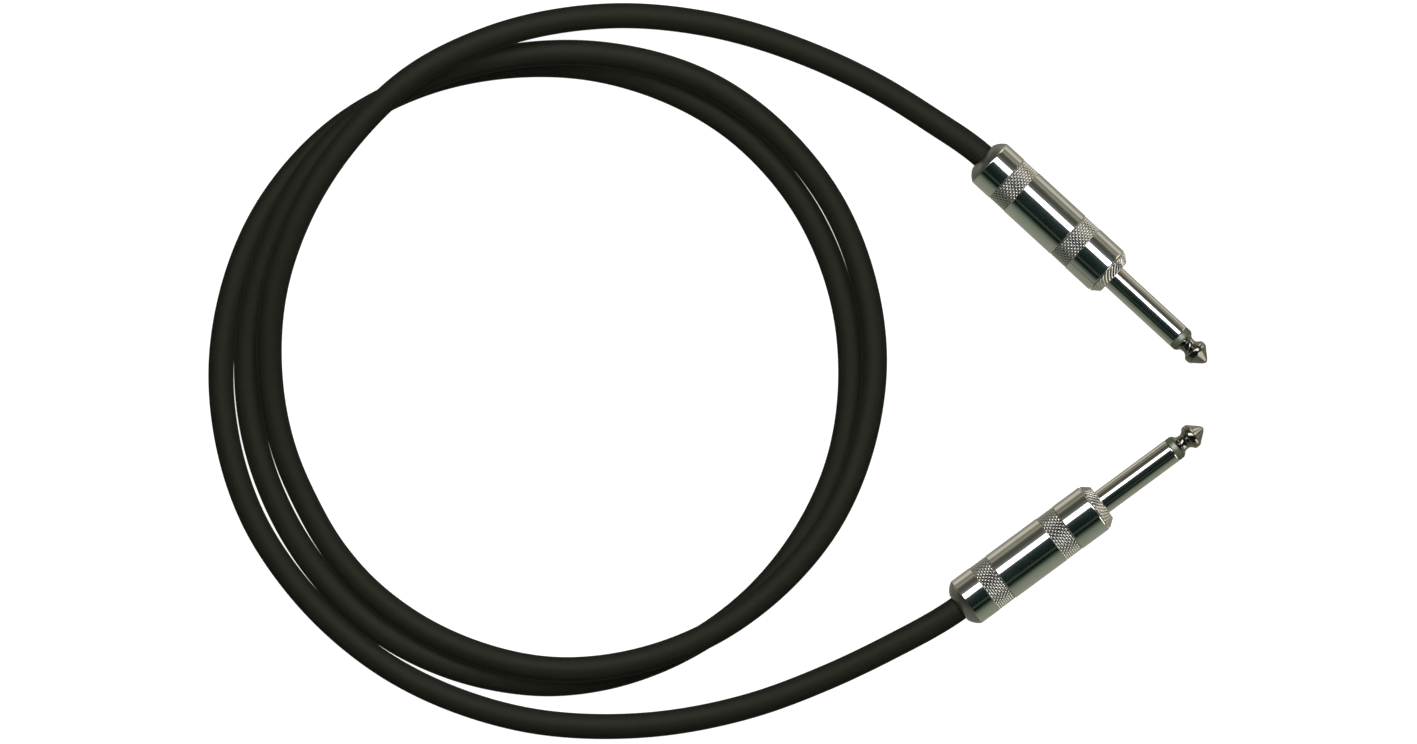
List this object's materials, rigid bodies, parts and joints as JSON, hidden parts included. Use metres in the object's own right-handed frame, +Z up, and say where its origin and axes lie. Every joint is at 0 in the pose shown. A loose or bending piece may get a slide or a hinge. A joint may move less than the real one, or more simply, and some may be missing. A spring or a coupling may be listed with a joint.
{
  "type": "instrument cable",
  "caption": "Coiled instrument cable with a straight phone plug on each end; knurled screw-on handles, matt black jacket, layered core.",
  "frame": {"origin": "on the table, under the middle of the part's bounding box", "axes": "+Z up from the table; +X from the coil towards the two plugs; +Y towards plug a"},
  "size_m": [0.2516, 0.1852, 0.0198],
  "materials": {
    "jacket": "matt black PVC with a soft sheen",
    "copper": "bare copper strands",
    "conductive_pvc": "matt black conductive plastic",
    "core_insulation": "milky polyethylene",
    "tip_nickel": "polished nickel plate",
    "shaft_nickel": "polished nickel plate, fine turning marks",
    "handle_nickel": "bright nickel plate with knurled bands",
    "tip_insulator": "grey green moulded plastic",
    "inner_plastic": "natural plastic tube",
    "tinned_brass": "tinned brass strip",
    "fibre": "brown phenolic fibre",
    "solder": "solder, dull silver"
  },
  "bodies": {
    "coil": {"jacket_coil": "jacket", "shield_coil": "copper", "conductive_layer_coil": "conductive_pvc", "insulation_coil": "core_insulation", "conductor_coil": "copper"},
    "plug_a": {"jacket_lead_a": "jacket", "shield_lead_a": "copper", "conductive_layer_lead_a": "conductive_pvc", "insulation_lead_a": "core_insulation", "conductor_lead_a": "copper", "plug_a_tip": "tip_nickel", "plug_a_tip_ring": "tip_insulator", "plug_a_rod_tube": "inner_plastic", "plug_a_sleeve_body": "shaft_nickel", "plug_a_sleeve_lug": "tinned_brass", "plug_a_washer": "fibre", "plug_a_tip_lug": "tinned_brass", "plug_a_shield_pigtail": "copper", "plug_a_tip_solder": "solder", "plug_a_sleeve_solder": "solder"},
    "liner_a": {"plug_a_liner": "inner_plastic"},
    "handle_a": {"plug_a_handle": "handle_nickel"},
    "plug_b": {"jacket_lead_b": "jacket", "shield_lead_b": "copper", "conductive_layer_lead_b": "conductive_pvc", "insulation_lead_b": "core_insulation", "conductor_lead_b": "copper", "plug_b_tip": "tip_nickel", "plug_b_tip_ring": "tip_insulator", "plug_b_rod_tube": "inner_plastic", "plug_b_sleeve_body": "shaft_nickel", "plug_b_sleeve_lug": "tinned_brass", "plug_b_washer": "fibre", "plug_b_tip_lug": "tinned_brass", "plug_b_shield_pigtail": "copper", "plug_b_tip_solder": "solder", "plug_b_sleeve_solder": "solder"},
    "liner_b": {"plug_b_liner": "inner_plastic"},
    "handle_b": {"plug_b_handle": "handle_nickel"}
  },
  "joints": [
    {"name": "lead_a_bend", "type": "hinge", "parent": "coil", "child": "plug_a", "pos_m": [0.0363, 0.075, 0.0077], "axis": [0, 0, 1], "range_deg": [-2, 45], "deforming": ["jacket_lead_a", "shield_lead_a", "conductive_layer_lead_a", "insulation_lead_a", "conductor_lead_a"]},
    {"name": "liner_a_slide", "type": "slide", "parent": "plug_a", "child": "liner_a", "axis": [-0.7361, 0.6769, 0], "range_m": [0, 0.0048]},
    {"name": "handle_a_turn", "type": "hinge", "parent": "liner_a", "child": "handle_a", "pos_m": [0.08396, 0.04054, 0.00654], "axis": [-0.7361, 0.6769, 0], "range_deg": [0, 2160]},
    {"name": "lead_b_bend", "type": "hinge", "parent": "coil", "child": "plug_b", "pos_m": [0.0254, -0.0789, 0.006], "axis": [0, 0, -1], "range_deg": [-2, 45], "deforming": ["jacket_lead_b", "shield_lead_b", "conductive_layer_lead_b", "insulation_lead_b", "conductor_lead_b"]},
    {"name": "liner_b_slide", "type": "slide", "parent": "plug_b", "child": "liner_b", "axis": [-0.8049, -0.5934, 0], "range_m": [0, 0.0048]},
    {"name": "handle_b_turn", "type": "hinge", "parent": "liner_b", "child": "handle_b", "pos_m": [0.07924, -0.04765, 0.00654], "axis": [-0.8049, -0.5934, 0], "range_deg": [0, 2160]}
  ],
  "couplings": [
    {"joint": "liner_a_slide", "follows": "handle_a_turn", "m_per_rad": 0.00012732},
    {"joint": "liner_b_slide", "follows": "handle_b_turn", "m_per_rad": 0.00012732}
  ]
}
